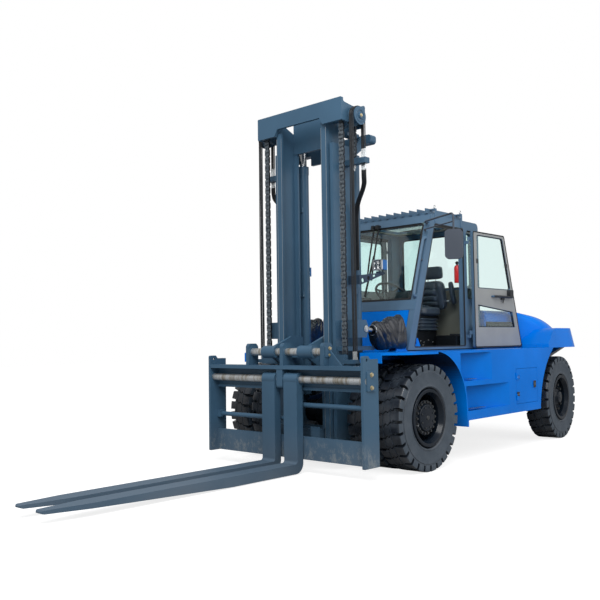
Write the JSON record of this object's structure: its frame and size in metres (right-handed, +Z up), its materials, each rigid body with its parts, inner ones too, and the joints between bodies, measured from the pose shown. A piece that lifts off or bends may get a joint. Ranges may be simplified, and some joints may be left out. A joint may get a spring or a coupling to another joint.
{
  "type": "forklift truck",
  "caption": "Heavy diesel counterbalance forklift with a two-stage mast, a side-shifting shaft carriage with two forks, twin front wheels, a closed cab with its door open and an iron counterweight.",
  "frame": {"origin": "on the floor under the truck's middle, midway between the fork tips and the tail", "axes": "+Y to the rear, +Z up, +X to the truck's left; the forks point along -Y"},
  "size_m": [2.493, 8.13, 3.972],
  "materials": {
    "paint_blue": "glossy blue machine enamel",
    "paint_grey": "blue-grey machine enamel, worn at the edges",
    "paint_black": "black chassis paint",
    "iron": "painted iron casting",
    "steel": "bare ground steel",
    "tyre": "moulded tyre rubber",
    "rubber": "black hose rubber",
    "glass": "clear toughened glass with a green tint",
    "plastic": "grained black plastic",
    "fabric": "black woven seat cloth",
    "leathercloth": "black coated boot cloth"
  },
  "bodies": {
    "chassis": {"chassis_frame": "paint_black", "drive_axle": "paint_black", "steer_axle": "paint_black", "side_body_left": "paint_blue", "side_body_right": "paint_blue", "counterweight": "iron", "engine_block": "iron", "engine_cover": "paint_blue", "cab_frame": "paint_grey", "cab_floor": "paint_black", "sill_brackets": "paint_blue", "driver_seat": "fabric", "dashboard": "plastic", "cab_glass": "glass", "overhead_guard": "paint_grey", "mirrors": "paint_black"},
    "engine_hood": {"engine_hood": "paint_blue"},
    "steering_wheel": {"steering_wheel": "plastic"},
    "cab_door_left": {"cab_door_left": "paint_blue", "door_glass_left": "glass"},
    "cab_door_right": {"cab_door_right": "paint_blue", "door_glass_right": "glass"},
    "side_door_left": {"side_door_left": "paint_blue"},
    "side_door_right": {"side_door_right": "paint_blue"},
    "front_wheel_left": {"front_tyres_left": "tyre", "front_rim_left": "paint_black"},
    "front_wheel_right": {"front_tyres_right": "tyre", "front_rim_right": "paint_black"},
    "knuckle_left": {"knuckle_left": "paint_black"},
    "knuckle_right": {"knuckle_right": "paint_black"},
    "rear_wheel_left": {"rear_tyre_left": "tyre", "rear_rim_left": "paint_black"},
    "rear_wheel_right": {"rear_tyre_right": "tyre", "rear_rim_right": "paint_black"},
    "tie_rod": {"tie_rod": "paint_black"},
    "steer_rod": {"steer_rod": "steel"},
    "mast_outer": {"mast_outer_frame": "paint_grey", "lift_cylinders": "paint_grey", "work_lamps": "paint_black"},
    "mast_inner": {"mast_inner_frame": "paint_grey", "lift_rods": "steel", "chain_rear_runs": "steel", "hose_rear_runs": "rubber"},
    "carriage_rear": {"carriage_rear": "paint_grey", "chain_front_runs": "steel", "hose_front_runs": "rubber"},
    "carriage_front": {"carriage_front": "paint_grey", "fork_shafts": "steel"},
    "fork_left": {"fork_left": "paint_grey"},
    "fork_right": {"fork_right": "paint_grey"},
    "tilt_cylinder_left": {"tilt_cylinder_left": "paint_black", "tilt_boot_left": "leathercloth"},
    "tilt_cylinder_right": {"tilt_cylinder_right": "paint_black", "tilt_boot_right": "leathercloth"},
    "tilt_rod_left": {"tilt_rod_left": "steel"},
    "tilt_rod_right": {"tilt_rod_right": "steel"}
  },
  "joints": [
    {"name": "front_wheel_left_spin", "type": "hinge", "parent": "chassis", "child": "front_wheel_left", "pos_m": [0.9, -0.225, 0.562], "axis": [1, 0, 0], "continuous": true},
    {"name": "front_wheel_right_spin", "type": "hinge", "parent": "chassis", "child": "front_wheel_right", "pos_m": [-0.9, -0.225, 0.562], "axis": [1, 0, 0], "continuous": true},
    {"name": "steer_left", "type": "hinge", "parent": "chassis", "child": "knuckle_left", "pos_m": [0.76, 3.175, 0.562], "axis": [0, 0, 1], "range_deg": [-54, 46]},
    {"name": "steer_right", "type": "hinge", "parent": "chassis", "child": "knuckle_right", "pos_m": [-0.76, 3.175, 0.562], "axis": [0, 0, 1], "range_deg": [-54, 46]},
    {"name": "rear_wheel_left_spin", "type": "hinge", "parent": "knuckle_left", "child": "rear_wheel_left", "pos_m": [1.00331, 3.19329, 0.562], "axis": [0.9972, 0.075, 0], "continuous": true},
    {"name": "rear_wheel_right_spin", "type": "hinge", "parent": "knuckle_right", "child": "rear_wheel_right", "pos_m": [-1.00331, 3.15671, 0.562], "axis": [0.9972, 0.075, 0], "continuous": true},
    {"name": "tie_rod_swing", "type": "hinge", "parent": "knuckle_left", "child": "tie_rod", "pos_m": [0.751, 3.29466, 0.755], "axis": [0, 0, 1], "range_deg": [-46, 54]},
    {"name": "steer_rod_slide", "type": "slide", "parent": "chassis", "child": "steer_rod", "axis": [1, 0, 0], "range_m": [-0.11, 0.09]},
    {"name": "mast_tilt", "type": "hinge", "parent": "chassis", "child": "mast_outer", "pos_m": [0, -0.225, 0.562], "axis": [1, 0, 0], "range_deg": [-12, 6]},
    {"name": "mast_lift", "type": "slide", "parent": "mast_outer", "child": "mast_inner", "axis": [0, 0, 1], "range_m": [0, 2], "deforming": ["chain_rear_runs", "hose_rear_runs"]},
    {"name": "carriage_lift", "type": "slide", "parent": "mast_inner", "child": "carriage_rear", "axis": [0, 0, 1], "range_m": [0, 2], "deforming": ["chain_front_runs", "hose_front_runs"]},
    {"name": "side_shift", "type": "slide", "parent": "carriage_rear", "child": "carriage_front", "axis": [1, 0, 0], "range_m": [-0.085, 0.085]},
    {"name": "fork_left_slide", "type": "slide", "parent": "carriage_front", "child": "fork_left", "axis": [1, 0, 0], "range_m": [0, 0.8]},
    {"name": "fork_right_slide", "type": "slide", "parent": "carriage_front", "child": "fork_right", "axis": [-1, 0, 0], "range_m": [0, 0.8]},
    {"name": "tilt_cylinder_left_swing", "type": "hinge", "parent": "chassis", "child": "tilt_cylinder_left", "pos_m": [0.605, 0.11, 1.45], "axis": [1, 0, 0], "range_deg": [-8.5, 5]},
    {"name": "tilt_cylinder_right_swing", "type": "hinge", "parent": "chassis", "child": "tilt_cylinder_right", "pos_m": [-0.605, 0.11, 1.45], "axis": [1, 0, 0], "range_deg": [-8.5, 5]},
    {"name": "tilt_rod_left_slide", "type": "slide", "parent": "tilt_cylinder_left", "child": "tilt_rod_left", "axis": [0, -0.9964, 0.0845], "range_m": [-0.2, 0.1], "deforming": ["tilt_boot_left"]},
    {"name": "tilt_rod_right_slide", "type": "slide", "parent": "tilt_cylinder_right", "child": "tilt_rod_right", "axis": [0, -0.9964, 0.0845], "range_m": [-0.2, 0.1], "deforming": ["tilt_boot_right"]},
    {"name": "cab_door_left_hinge", "type": "hinge", "parent": "chassis", "child": "cab_door_left", "pos_m": [0.697, 1.575, 2], "axis": [0, 0, 1], "range_deg": [-178, 0]},
    {"name": "cab_door_right_hinge", "type": "hinge", "parent": "chassis", "child": "cab_door_right", "pos_m": [-0.697, 1.725, 2], "axis": [0, 0, 1], "range_deg": [-135, 0]},
    {"name": "side_door_left_hinge", "type": "hinge", "parent": "chassis", "child": "side_door_left", "pos_m": [1.241, 1.719, 0.778], "axis": [0, 0, 1], "range_deg": [-100, 0]},
    {"name": "side_door_right_hinge", "type": "hinge", "parent": "chassis", "child": "side_door_right", "pos_m": [-1.241, 1.719, 0.778], "axis": [0, 0, 1], "range_deg": [0, 100]},
    {"name": "engine_hood_hinge", "type": "hinge", "parent": "chassis", "child": "engine_hood", "pos_m": [0, 1.983, 1.765], "axis": [1, 0, 0], "range_deg": [0, 50]},
    {"name": "steering_wheel_spin", "type": "hinge", "parent": "chassis", "child": "steering_wheel", "pos_m": [0, 0.8535, 1.9636], "axis": [0, 0.6178, 0.7863], "continuous": true}
  ],
  "couplings": [
    {"joint": "steer_right", "follows": "steer_left", "ratio": 1},
    {"joint": "tie_rod_swing", "follows": "steer_left", "ratio": -1},
    {"joint": "steer_rod_slide", "follows": "steer_left", "m_per_rad": 0.108},
    {"joint": "carriage_lift", "follows": "mast_lift", "ratio": 1},
    {"joint": "tilt_cylinder_left_swing", "follows": "mast_tilt", "ratio": 0.62},
    {"joint": "tilt_cylinder_right_swing", "follows": "mast_tilt", "ratio": 0.62},
    {"joint": "tilt_rod_left_slide", "follows": "mast_tilt", "m_per_rad": 0.928},
    {"joint": "tilt_rod_right_slide", "follows": "mast_tilt", "m_per_rad": 0.928}
  ]
}
